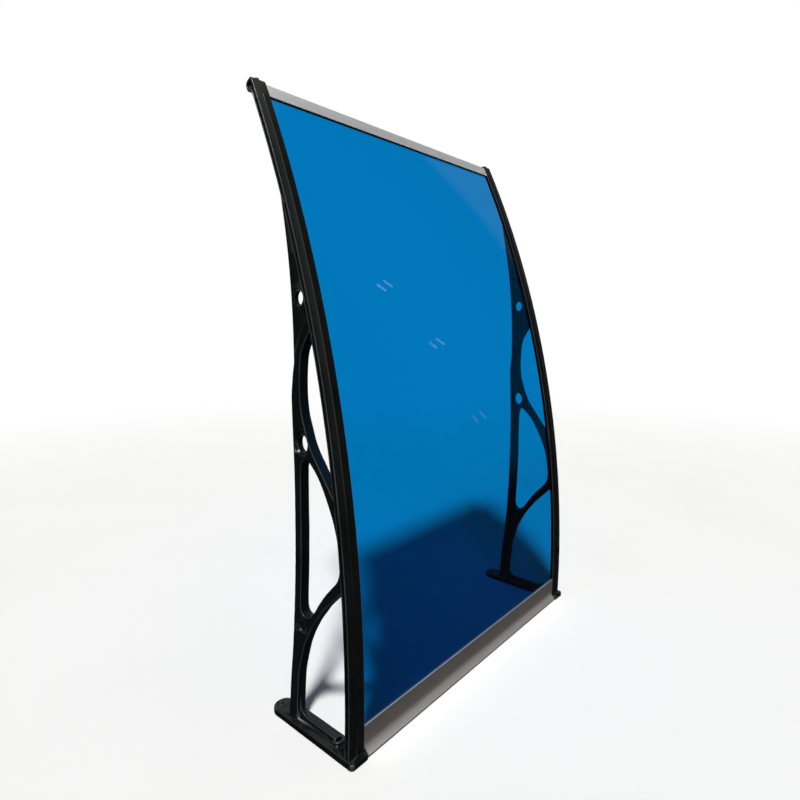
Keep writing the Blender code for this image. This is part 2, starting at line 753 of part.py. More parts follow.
def build():
    for old in list(bpy.data.objects):
        bpy.data.objects.remove(old)
    left = bracket()
    left.name = "bracket_left"
    right = bpy.data.objects.new("bracket_right", left.data.copy())
    bpy.context.collection.objects.link(right)
    finish(left, material("bracket_left", (0.010, 0.012, 0.013), 0.42), -bracketSpacing / 2)
    finish(right, material("bracket_right", (0.010, 0.012, 0.013), 0.42), bracketSpacing / 2)
    pieces = [left, right]
    for made, look in (
            (roofSheet(), ((0.004, 0.165, 0.420), 0.06, 0.0, 0.75)),
            (frontStrip(), ((0.32, 0.32, 0.33), 0.38, 0.9)),
            (rearStrip(), ((0.24, 0.23, 0.22), 0.38, 0.9)),
            (frontSeal(), ((0.006, 0.006, 0.007), 0.70)),
            (rearSeal(), ((0.006, 0.006, 0.007), 0.70)),
            (wallSeal(), ((0.006, 0.006, 0.007), 0.70)),
            (screwAlongX("front_left_screw", -1), ((0.03, 0.03, 0.03), 0.40, 0.8)),
            (screwAlongX("front_right_screw", 1), ((0.03, 0.03, 0.03), 0.40, 0.8)),
            (screwAcrossArm("rear_left_screw", -1), ((0.03, 0.03, 0.03), 0.40, 0.8)),
            (screwAcrossArm("rear_right_screw", 1), ((0.03, 0.03, 0.03), 0.40, 0.8))):
        finish(made, material(made.name, *look))
        pieces.append(made)
    centreOverOrigin(pieces)


build()
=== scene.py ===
import json
import math

import bmesh
import bpy
from mathutils import Matrix, Vector

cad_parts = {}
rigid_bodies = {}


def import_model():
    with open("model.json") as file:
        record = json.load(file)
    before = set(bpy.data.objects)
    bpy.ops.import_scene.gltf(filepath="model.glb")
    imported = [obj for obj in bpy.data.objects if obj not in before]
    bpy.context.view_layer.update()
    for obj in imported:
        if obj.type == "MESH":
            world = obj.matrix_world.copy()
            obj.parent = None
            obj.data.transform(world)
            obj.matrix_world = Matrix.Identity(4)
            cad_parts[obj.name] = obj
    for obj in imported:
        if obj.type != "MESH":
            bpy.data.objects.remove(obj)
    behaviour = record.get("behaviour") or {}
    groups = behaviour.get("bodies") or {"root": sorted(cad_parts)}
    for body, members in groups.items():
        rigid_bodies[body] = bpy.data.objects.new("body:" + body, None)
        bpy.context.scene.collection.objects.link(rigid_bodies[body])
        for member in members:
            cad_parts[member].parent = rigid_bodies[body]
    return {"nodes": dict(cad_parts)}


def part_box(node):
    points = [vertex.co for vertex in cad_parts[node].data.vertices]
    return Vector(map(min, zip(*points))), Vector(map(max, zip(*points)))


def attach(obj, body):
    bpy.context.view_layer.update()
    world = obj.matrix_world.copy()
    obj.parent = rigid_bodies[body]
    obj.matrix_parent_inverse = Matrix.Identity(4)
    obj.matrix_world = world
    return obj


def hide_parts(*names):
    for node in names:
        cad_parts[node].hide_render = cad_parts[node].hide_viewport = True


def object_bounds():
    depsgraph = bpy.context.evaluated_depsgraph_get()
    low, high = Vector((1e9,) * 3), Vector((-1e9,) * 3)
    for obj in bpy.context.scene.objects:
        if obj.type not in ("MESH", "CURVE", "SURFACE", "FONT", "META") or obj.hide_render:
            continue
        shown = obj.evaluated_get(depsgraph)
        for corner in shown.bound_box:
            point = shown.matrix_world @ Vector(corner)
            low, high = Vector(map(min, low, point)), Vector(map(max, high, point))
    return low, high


for old in list(bpy.data.objects):
    bpy.data.objects.remove(old)

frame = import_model()
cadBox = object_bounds()
print("stage 1: the packed canopy is loaded")

# The arms' curve in the part's own measures, in metres: a circle whose middle lies behind the
# wall plates
arm = {
    "radius": 2.0045,
    "bellyHeight": 0.093,
    "plateFront": 0.007,            # the wall plates reach this far in front of the arms' belly
    "spacing": 0.610,               # between the two arms' middles
    "depth": 0.0086,                # of its H section, from its outer face inwards
    "web": 0.0050,                  # thickness of the web between its flanges
}
arm["face"] = cadBox[0].y + arm["plateFront"]


def armPlace(angle, depth):
    # (y, z) at an angle along the arm, depth inwards from its outer face
    reach = arm["radius"] - depth
    return (arm["face"] + arm["radius"] - reach * math.cos(angle),
            arm["bellyHeight"] + reach * math.sin(angle))


def armAngle(height, depth=0.0):
    return math.asin((height - arm["bellyHeight"]) / (arm["radius"] - depth))


# The camera, at the photograph's own distance, heading and lens
camera = {
    "place": (-0.798708, cadBox[0].y - 0.500435, 0.602663),
    "heading": 41.0255,             # degrees from +X towards +Y
    "downTilt": 5.273,
    "roll": -0.033,
    "lens": 24.877,
    "sensor": 36.0,
    "shiftY": -0.0345,
    "nearest": 0.01,
}

lensData = bpy.data.cameras.new("photoCamera")
lensData.lens = camera["lens"]
lensData.sensor_width = camera["sensor"]
lensData.shift_y = camera["shiftY"]
lensData.clip_start = camera["nearest"]
cameraObject = bpy.data.objects.new("photoCamera", lensData)
bpy.context.scene.collection.objects.link(cameraObject)
cameraObject.matrix_world = (
    Matrix.Translation(camera["place"])
    @ Matrix.Rotation(math.radians(camera["heading"] - 90), 4, "Z")
    @ Matrix.Rotation(math.radians(90 - camera["downTilt"]), 4, "X")
    @ Matrix.Rotation(math.radians(camera["roll"]), 4, "Z"))
bpy.context.scene.camera = cameraObject
print("stage 2: the camera is placed")


def linearColour(hexText):
    # sRGB hex to the linear values that the shaders want
    values = [int(hexText[i:i + 2], 16) / 255 for i in (1, 3, 5)]
    linear = [v / 12.92 if v <= 0.04045 else ((v + 0.055) / 1.055) ** 2.4 for v in values]
    return (*linear, 1.0)


def patternScale(millimetres):
    # Scale of a pattern on Object coordinates, in metres, whose features are this far apart
    return 1000.0 / millimetres


def addNode(tree, kind, values=None, links=None, **settings):
    # values and links go by the socket's name or number; a link names (node, output)
    node = tree.nodes.new(kind)
    for name, value in settings.items():
        setattr(node, name, value)
    for socket, value in (values or {}).items():
        node.inputs[socket].default_value = value
    for socket, (source, output) in (links or {}).items():
        tree.links.new(source.outputs[output], node.inputs[socket])
    return node


def newMaterial(name):
    # A material with one Principled shader and the Object coordinates that its patterns read
    made = bpy.data.materials.new(name)
    made.use_nodes = True
    tree = made.node_tree
    shader = tree.nodes["Principled BSDF"]
    place = addNode(tree, "ShaderNodeTexCoord")
    return made, tree, shader, place


def meshPiece(name, bm, material):
    mesh = bpy.data.meshes.new(name)
    bm.to_mesh(mesh)
    bm.free()
    mesh.materials.append(material)
    piece = bpy.data.objects.new(name, mesh)
    bpy.context.scene.collection.objects.link(piece)
    return piece


def smoothByAngle(piece, degrees):
    piece.data.shade_smooth()
    piece.data.set_sharp_from_angle(angle=math.radians(degrees))


def bakedModifiers(piece):
    # Turns what the modifiers make into the piece's own plain mesh
    view = bpy.context.evaluated_depsgraph_get()
    mesh = bpy.data.meshes.new_from_object(piece.evaluated_get(view))
    piece.modifiers.clear()
    old = piece.data
    piece.data = mesh
    bpy.data.meshes.remove(old)
    mesh.name = piece.name
    return piece


def onBody(piece, nodes):
    # Every piece of this canopy rides on its one body
    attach(piece, "root")
    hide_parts(*nodes)


bracketLook = {
    "colour": "#060808",
    "greyed": "#0D1112",
    "cloud": 60.0,                  # mm, slow changes of colour and gloss along the moulding
    "roughness": (0.21, 0.37),
    "rubbedAndSheen": "#373D3F",            # painted highlight on the rounded edges, a paler colour that stands in for the light they catch
    "edgeWidth": 0.0011,            # metres, faces narrower than this are rounded edges
    "leastSheen": 0.45,
    "sheenOver": (0.3, 0.6),       # of the cloud, from the faintest painted edge highlight to the strongest
    "dust": "#7C7D7B",
    "speck": 7.0,                   # mm, between the specks of dust
    "speckRim": (0.07, 0.13),       # of that, where a speck starts to fade and where it ends
    "withoutSpeck": 0.70,           # share of the places that have no speck
    "facingUp": (0.6, 0.95),        # height of a face's normal, from no specks to all
    "grain": 0.5,                   # mm, drawn coarser: a real mould's 0.1 mm is too fine to show
    "grainBump": (0.16, 0.00012),
    "ior": 1.53,
    "specular": 0.4,
}


def mouldedAbs():
    # ABS, injection moulded in a lightly textured mould: black, with a soft satin sheen, a fine
    # grain, a painted highlight along the rounded edges and a few specks of dust on what faces up
    look = bracketLook
    made, tree, shader, place = newMaterial("mouldedAbs")
    cloud = addNode(tree, "ShaderNodeTexNoise",
                    {"Scale": patternScale(look["cloud"]), "Detail": 3.0},
                    {"Vector": (place, "Object")})
    grain = addNode(tree, "ShaderNodeTexNoise",
                    {"Scale": patternScale(look["grain"]), "Detail": 2.0},
                    {"Vector": (place, "Object")})
    tone = addNode(tree, "ShaderNodeMix",
                   {6: linearColour(look["colour"]), 7: linearColour(look["greyed"])},
                   {0: (cloud, "Fac")}, data_type="RGBA")
    # Painted highlight: the narrow faces that round the edges are mixed towards a paler colour,
    # patchy with the cloud
    edge = addNode(tree, "ShaderNodeAttribute", attribute_name="roundedEdge")
    patchy = addNode(tree, "ShaderNodeMapRange",
                     {"From Min": look["sheenOver"][0], "From Max": look["sheenOver"][1],
                      "To Min": look["leastSheen"]}, {"Value": (cloud, "Fac")})
    patchySheen = addNode(tree, "ShaderNodeMath", {}, {0: (edge, "Fac"), 1: (patchy, "Result")},
                     operation="MULTIPLY")
    edgeSheen = addNode(tree, "ShaderNodeMix", {7: linearColour(look["rubbedAndSheen"])},
                   {0: (patchySheen, "Value"), 6: (tone, 2)}, data_type="RGBA")
    speck = addNode(tree, "ShaderNodeTexVoronoi", {"Scale": patternScale(look["speck"])},
                    {"Vector": (place, "Object")})
    dot = addNode(tree, "ShaderNodeMapRange",
                  {"From Min": look["speckRim"][0], "From Max": look["speckRim"][1],
                   "To Min": 1.0, "To Max": 0.0}, {"Value": (speck, "Distance")})
    drawn = addNode(tree, "ShaderNodeSeparateColor", {}, {"Color": (speck, "Color")})
    chosen = addNode(tree, "ShaderNodeMath", {1: look["withoutSpeck"]}, {0: (drawn, "Red")},
                     operation="GREATER_THAN")
    normal = addNode(tree, "ShaderNodeNewGeometry")
    facing = addNode(tree, "ShaderNodeSeparateXYZ", {}, {"Vector": (normal, "Normal")})
    upwards = addNode(tree, "ShaderNodeMapRange",
                      {"From Min": look["facingUp"][0], "From Max": look["facingUp"][1]},
                      {"Value": (facing, "Z")})
    lying = addNode(tree, "ShaderNodeMath", {}, {0: (dot, "Result"), 1: (chosen, "Value")},
                    operation="MULTIPLY")
    settled = addNode(tree, "ShaderNodeMath", {}, {0: (lying, "Value"), 1: (upwards, "Result")},
                      operation="MULTIPLY")
    dusty = addNode(tree, "ShaderNodeMix", {7: linearColour(look["dust"])},
                    {0: (settled, "Value"), 6: (edgeSheen, 2)}, data_type="RGBA")
    gloss = addNode(tree, "ShaderNodeMapRange",
                    {"To Min": look["roughness"][0], "To Max": look["roughness"][1]},
                    {"Value": (cloud, "Fac")})
    bump = addNode(tree, "ShaderNodeBump",
                   {"Strength": look["grainBump"][0], "Distance": look["grainBump"][1]},
                   {"Height": (grain, "Fac")})
    tree.links.new(dusty.outputs[2], shader.inputs["Base Color"])
    tree.links.new(gloss.outputs["Result"], shader.inputs["Roughness"])
    tree.links.new(bump.outputs["Normal"], shader.inputs["Normal"])
    shader.inputs["IOR"].default_value = look["ior"]
    shader.inputs["Specular IOR Level"].default_value = look["specular"]
    return made


sheetLook = {
    "tint": "#007ABE",              # what plain white looks like through the sheet
    "roughness": (0.009, 0.024),
    "ior": 1.36,                    # polycarbonate's 1.58 would mirror too much of a pale studio
    "wave": 90.0,                   # mm, the slight unevenness that extrusion leaves
    "waveBump": (0.10, 0.0006),
}


def clearPolycarbonate():
    # Solid polycarbonate, extruded and polished: clear blue all through, with soft waves in its
    # gloss
    look = sheetLook
    made, tree, shader, place = newMaterial("clearPolycarbonate")
    wave = addNode(tree, "ShaderNodeTexNoise",
                   {"Scale": patternScale(look["wave"]), "Detail": 1.0},
                   {"Vector": (place, "Object")})
    haze = addNode(tree, "ShaderNodeMapRange",
                   {"To Min": look["roughness"][0], "To Max": look["roughness"][1]},
                   {"Value": (wave, "Fac")})
    bump = addNode(tree, "ShaderNodeBump",
                   {"Strength": look["waveBump"][0], "Distance": look["waveBump"][1]},
                   {"Height": (wave, "Fac")})
    shader.inputs["Base Color"].default_value = linearColour(look["tint"])
    shader.inputs["IOR"].default_value = look["ior"]
    shader.inputs["Transmission Weight"].default_value = 1.0
    tree.links.new(haze.outputs["Result"], shader.inputs["Roughness"])
    tree.links.new(bump.outputs["Normal"], shader.inputs["Normal"])
    return made


stripLook = {
    "dieLine": 0.45,                # mm, drawn coarser: a die's real lines are too fine to show
    "dieLength": 120.0,             # mm, over which a line fades into the next
    "lineBump": (0.12, 0.00008),
    "lineGloss": (-0.06, 0.10),     # what the lines take from the roughness and add to it
    "facingUp": (0.10, 0.35),       # height of a face's normal, from no dust to all
}
frontFinish = {"colour": "#DDDEE0", "shade": "#D2D3D6", "metallic": 0.52, "roughness": 0.34,
               "dust": 0.0}
rearFinish = {"colour": "#DAD5D1", "shade": "#CEC8C3", "metallic": 0.95, "roughness": 0.38,
              "dust": 0.22}


def anodisedAluminium(name, finish):
    # Aluminium, extruded and anodised matt: satin grey, with faint lines along the extrusion.
    # The oxide film scatters part of the light, so it isn't metallic all the way, and a film of
    # dust on what faces up scatters more
    look = stripLook
    made, tree, shader, place = newMaterial(name)
    lineScale = patternScale(look["dieLine"])
    along = addNode(tree, "ShaderNodeMapping",
                    {"Scale": (patternScale(look["dieLength"]), lineScale, lineScale)},
                    {"Vector": (place, "Object")})
    lines = addNode(tree, "ShaderNodeTexNoise", {"Scale": 1.0, "Detail": 2.0},
                    {"Vector": (along, "Vector")})
    tone = addNode(tree, "ShaderNodeMix",
                   {6: linearColour(finish["colour"]), 7: linearColour(finish["shade"])},
                   {0: (lines, "Fac")}, data_type="RGBA")
    gloss = addNode(tree, "ShaderNodeMapRange",
                    {"To Min": finish["roughness"] + look["lineGloss"][0],
                     "To Max": finish["roughness"] + look["lineGloss"][1]},
                    {"Value": (lines, "Fac")})
    bump = addNode(tree, "ShaderNodeBump",
                   {"Strength": look["lineBump"][0], "Distance": look["lineBump"][1]},
                   {"Height": (lines, "Fac")})
    shader.inputs["Metallic"].default_value = finish["metallic"]
    if finish["dust"]:
        normal = addNode(tree, "ShaderNodeNewGeometry")
        facing = addNode(tree, "ShaderNodeSeparateXYZ", {}, {"Vector": (normal, "Normal")})
        dusty = addNode(tree, "ShaderNodeMapRange",
                        {"From Min": look["facingUp"][0], "From Max": look["facingUp"][1],
                         "To Min": finish["metallic"],
                         "To Max": finish["metallic"] - finish["dust"]},
                        {"Value": (facing, "Z")}, interpolation_type="SMOOTHSTEP")
        tree.links.new(dusty.outputs["Result"], shader.inputs["Metallic"])
    tree.links.new(tone.outputs[2], shader.inputs["Base Color"])
    tree.links.new(gloss.outputs["Result"], shader.inputs["Roughness"])
    tree.links.new(bump.outputs["Normal"], shader.inputs["Normal"])
    return made


sealLook = {
    "colour": "#050506",
    "chalky": "#0C0D0D",
    "chalk": 9.0,                   # mm, between the chalky places
    "chalkBump": (0.10, 0.0001),
    "roughness": 0.72,
    "specular": 0.15,
}


def epdmRubber():
    # EPDM rubber, extruded: matt black, slightly chalky in places
    look = sealLook
    made, tree, shader, place = newMaterial("epdmRubber")
    chalk = addNode(tree, "ShaderNodeTexNoise",
                    {"Scale": patternScale(look["chalk"]), "Detail": 4.0},
                    {"Vector": (place, "Object")})
    tone = addNode(tree, "ShaderNodeMix",
                   {6: linearColour(look["colour"]), 7: linearColour(look["chalky"])},
                   {0: (chalk, "Fac")}, data_type="RGBA")
    bump = addNode(tree, "ShaderNodeBump",
                   {"Strength": look["chalkBump"][0], "Distance": look["chalkBump"][1]},
                   {"Height": (chalk, "Fac")})
    shader.inputs["Roughness"].default_value = look["roughness"]
    shader.inputs["Specular IOR Level"].default_value = look["specular"]
    tree.links.new(tone.outputs[2], shader.inputs["Base Color"])
    tree.links.new(bump.outputs["Normal"], shader.inputs["Normal"])
    return made


screwLook = {
    "colour": "#1B1B1C",
    "rubbedAndSheen": "#3A3A3B",
    "rub": 1.2,                     # mm, between the rubbed places
    "metallic": 0.85,
    "roughness": 0.38,
}


def blackenedSteel():
    # Steel screws with a black oxide finish: dark but metallic, and paler where a driver rubs
    look = screwLook
    made, tree, shader, place = newMaterial("blackenedSteel")
    rub = addNode(tree, "ShaderNodeTexNoise",
                  {"Scale": patternScale(look["rub"]), "Detail": 3.0},
                  {"Vector": (place, "Object")})
    tone = addNode(tree, "ShaderNodeMix",
                   {6: linearColour(look["colour"]), 7: linearColour(look["rubbedAndSheen"])},
                   {0: (rub, "Fac")}, data_type="RGBA")
    shader.inputs["Metallic"].default_value = look["metallic"]
    shader.inputs["Roughness"].default_value = look["roughness"]
    tree.links.new(tone.outputs[2], shader.inputs["Base Color"])
    return made


absPlastic = mouldedAbs()
bluePlastic = clearPolycarbonate()
frontMetal = anodisedAluminium("frontAnodisedAluminium", frontFinish)
rearMetal = anodisedAluminium("rearAnodisedAluminium", rearFinish)
rubber = epdmRubber()
screwSteel = blackenedSteel()
print("stage 3: the materials are made")

# The blue sheet: a rounded profile swept along the arms' curve
sheet = {
    "width": 0.600,
    "thickness": 0.003,
    "outerDepth": 0.0029,           # from the arm's outer face to the sheet's outer face
    "edgeRadius": 0.0004,           # sawn edges, broken with a file
    "edgeSteps": 2,
    "steps": 96,
    "sharpAngle": 20,               # degrees, edges sharper than this stay sharp
}


def newTree(name, inputs):
    # A Geometry Nodes tree with named inputs, and the node that gives them
    tree = bpy.data.node_groups.new(name, "GeometryNodeTree")
    for way in ("INPUT", "OUTPUT"):
        tree.interface.new_socket("Geometry", in_out=way, socket_type="NodeSocketGeometry")
    for label, kind in inputs:
        tree.interface.new_socket(label, in_out="INPUT", socket_type="NodeSocket" + kind)
    return tree, addNode(tree, "NodeGroupInput")


def endTree(tree, given, shape):
    # Instances made real, and the material that the tree was given
    solid = addNode(tree, "GeometryNodeRealizeInstances", {}, {"Geometry": (shape, 0)})
    looked = addNode(tree, "GeometryNodeSetMaterial", {},
                     {"Geometry": (solid, 0), "Material": (given, "Material")})
    addNode(tree, "NodeGroupOutput", {}, {"Geometry": (looked, 0)})


def sheetTree():
    # An arc in the side view, and a profile with rounded corners along it
    tree, given = newTree("bentSheet", (
        ("Width", "Float"), ("Thickness", "Float"), ("Edge radius", "Float"),
        ("Edge steps", "Int"), ("Bend radius", "Float"), ("First angle", "Float"),
        ("Swept angle", "Float"), ("Middle", "Vector"), ("Steps", "Int"),
        ("Material", "Material")))
    arc = addNode(tree, "GeometryNodeCurveArc", {},
                  {"Resolution": (given, "Steps"), "Radius": (given, "Bend radius"),
                   "Start Angle": (given, "First angle"),
                   "Sweep Angle": (given, "Swept angle")}, mode="RADIUS")
    here = addNode(tree, "GeometryNodeInputPosition")
    split = addNode(tree, "ShaderNodeSeparateXYZ", {}, {0: (here, 0)})
    back = addNode(tree, "ShaderNodeMath", {1: -1.0}, {0: (split, "X")}, operation="MULTIPLY")
    turned = addNode(tree, "ShaderNodeCombineXYZ", {}, {"Y": (back, 0), "Z": (split, "Y")})
    placed = addNode(tree, "ShaderNodeVectorMath", {}, {0: (turned, 0), 1: (given, "Middle")},
                     operation="ADD")
    bent = addNode(tree, "GeometryNodeSetPosition", {},
                   {"Geometry": (arc, "Curve"), "Position": (placed, 0)})
    upright = addNode(tree, "GeometryNodeSetCurveNormal", {"Normal": (1.0, 0.0, 0.0)},
                      {"Curve": (bent, "Geometry")}, mode="FREE")
    outline = addNode(tree, "GeometryNodeCurvePrimitiveQuadrilateral", {},
                      {"Width": (given, "Width"), "Height": (given, "Thickness")},
                      mode="RECTANGLE")
    corners = addNode(tree, "GeometryNodeFilletCurve", {},
                      {"Curve": (outline, 0), "Radius": (given, "Edge radius"),
                       "Count": (given, "Edge steps")}, mode="POLY")
    swept = addNode(tree, "GeometryNodeCurveToMesh", {"Fill Caps": True},
                    {"Curve": (upright, "Curve"), "Profile Curve": (corners, 0)})
    endTree(tree, given, swept)
    return tree


def applyTree(name, tree, values, points=None):
    # Runs a Geometry Nodes tree once and keeps its result as a plain mesh
    piece = bpy.data.objects.new(name, points or bpy.data.meshes.new(name + "Start"))
    bpy.context.scene.collection.objects.link(piece)
    modifier = piece.modifiers.new("nodes", "NODES")
    modifier.node_group = tree
    for item in tree.interface.items_tree:
        if item.in_out == "INPUT" and item.name in values:
            modifier[item.identifier] = values[item.name]
    return bakedModifiers(piece)


sheetLow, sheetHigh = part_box("roof_sheet")
sheetMiddle = sheet["outerDepth"] + sheet["thickness"] / 2
firstAngle = armAngle(sheetLow.z, sheet["outerDepth"])
lastAngle = armAngle(sheetHigh.z, sheet["outerDepth"])
roofSheet = applyTree("bentBlueSheet", sheetTree(), {
    "Width": sheet["width"], "Thickness": sheet["thickness"],
    "Edge radius": sheet["edgeRadius"], "Edge steps": sheet["edgeSteps"],
    "Bend radius": arm["radius"] - sheetMiddle,
    "First angle": firstAngle, "Swept angle": lastAngle - firstAngle,
    "Middle": (0.0, arm["face"] + arm["radius"], arm["bellyHeight"]),
    "Steps": sheet["steps"], "Material": bluePlastic})
smoothByAngle(roofSheet, sheet["sharpAngle"])
onBody(roofSheet, ["roof_sheet"])
print("stage 4: the sheet is bent,", len(roofSheet.data.polygons), "faces")

# The brackets and strips: the CAD shapes with joined faces
joined = {
    "closer": 0.00001,              # metres, corners closer than this are one
    "bracketAngle": 34,             # degrees, edges sharper than this stay sharp
    "stripAngle": 30,
    "flatWeight": 80,               # how strongly a large face keeps its own shading
}


def smoothCopy(name, nodeName, material, degrees):
    # The CAD node's own shape with its loose triangles joined, so that its curves look curved
    bm = bmesh.new()
    bm.from_mesh(frame["nodes"][nodeName].data)
    bmesh.ops.remove_doubles(bm, verts=bm.verts, dist=joined["closer"])
    piece = meshPiece(name, bm, material)
    smoothByAngle(piece, degrees)
    weighted = piece.modifiers.new("flatFacesStayFlat", "WEIGHTED_NORMAL")
    weighted.keep_sharp = True
    weighted.weight = joined["flatWeight"]
    return bakedModifiers(piece)


def markRoundedEdges(piece, width):
    # A face attribute that is 1 on the narrow faces which round the moulding's edges, where the
    # material paints its edge highlight
    mesh = piece.data
    narrow = mesh.attributes.new("roundedEdge", "FLOAT", "FACE")
    for face in mesh.polygons:
        corners = [mesh.vertices[i].co for i in face.vertices]
        longest = max((corners[i] - corners[i - 1]).length for i in range(len(corners)))
        narrow.data[face.index].value = 1.0 if 2 * face.area < width * longest else 0.0


for side in ("left", "right"):
    bracket = smoothCopy(side + "Bracket", "bracket_" + side, absPlastic,
                         joined["bracketAngle"])
    markRoundedEdges(bracket, bracketLook["edgeWidth"])
    onBody(bracket, ["bracket_" + side])
for side, metal in (("front", frontMetal), ("rear", rearMetal)):
    strip = smoothCopy(side + "Strip", side + "_strip", metal, joined["stripAngle"])
    onBody(strip, [side + "_strip"])
for nodeName in ("rear_seal", "wall_seal"):
    frame["nodes"][nodeName].data.materials[0] = rubber
print("stage 5: the brackets and strips are dressed")

# The rubber lip along the front strip
frontSeal = {
    "tipHeight": 0.9522,            # of the arms' upper ends
    "stripEnd": 0.0271,             # from there down the arm to the strip's lower edge
    "gap": 0.0003,
    "reach": 0.0032,                # how far the lip shows below the strip
    "tongue": 0.0070,               # how far it goes up behind the strip's front
    # Depths below the arms' outer face: the lip's points, and the tongue's two faces
    "lipDepths": (0.0006, 0.0003, 0.0003, 0.0007, 0.0014, 0.0023),
    "lipBend": 0.8,                 # under 1, the lip's points crowd towards its tip
    "behindLeaf": 0.0018,
    "onSheet": 0.0026,
    "sharpAngle": 50,
}


def lipProfile():
    # (along the arm, depth) of the seal's section: a rounded lip that bears on the sheet
    size = frontSeal
    last = len(size["lipDepths"]) - 1
    shown = size["reach"] - size["gap"]
    lip = [(-size["gap"] - shown * (i / last) ** size["lipBend"], depth)
           for i, depth in enumerate(size["lipDepths"])]
    return lip + [(-shown, size["onSheet"]), (size["tongue"], size["onSheet"]),
                  (size["tongue"], size["behindLeaf"]), (-size["gap"], size["behindLeaf"])]


def alongWall(name, section, low, high, material):
    # A profile of the side view, as (y, z), drawn out along the wall
    bm = bmesh.new()
    rows = [[bm.verts.new((x, y, z)) for y, z in section] for x in (low, high)]
    for i in range(len(section)):
        j = (i + 1) % len(section)
        bm.faces.new((rows[0][i], rows[0][j], rows[1][j], rows[1][i]))
    bm.faces.new(rows[0])
    bm.faces.new(rows[1])
    bmesh.ops.recalc_face_normals(bm, faces=bm.faces)
    return meshPiece(name, bm, material)


stripEndAngle = armAngle(frontSeal["tipHeight"]) - frontSeal["stripEnd"] / arm["radius"]
sealLow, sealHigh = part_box("front_seal")
lipSection = [armPlace(stripEndAngle + along / arm["radius"], depth)
              for along, depth in lipProfile()]
lip = alongWall("frontSealLip", lipSection, sealLow.x, sealHigh.x, rubber)
smoothByAngle(lip, frontSeal["sharpAngle"])
onBody(lip, ["front_seal"])
print("stage 6: the front seal has its lip")

# The screws: one tree, placed on points that carry their direction
screw = {
    "headRadius": 0.0032,
    "headHeight": 0.0019,
    "recessLength": 1.2,            # of the head's radius
    "recessWidth": 0.0009,
    "recessDepth": 0.0011,
    "shankRadius": 0.00150,
    "threadHeight": 0.00030,
    "threadEnd": 0.92,              # of the length, where the thread runs out
    "pitch": 0.0014,
    "frontLength": 0.0165,
    "rearLength": 0.0058,
    "rearInset": 0.0085,            # from the arm's middle
    "rearHeight": 0.0240,
    "seatGap": 0.0003,
    "headSegments": 32,
    "headRings": 16,
    "shankSides": 20,
    "threadSteps": 18,              # in each turn
    "threadSides": 4,
    "sharpAngle": 35,
}


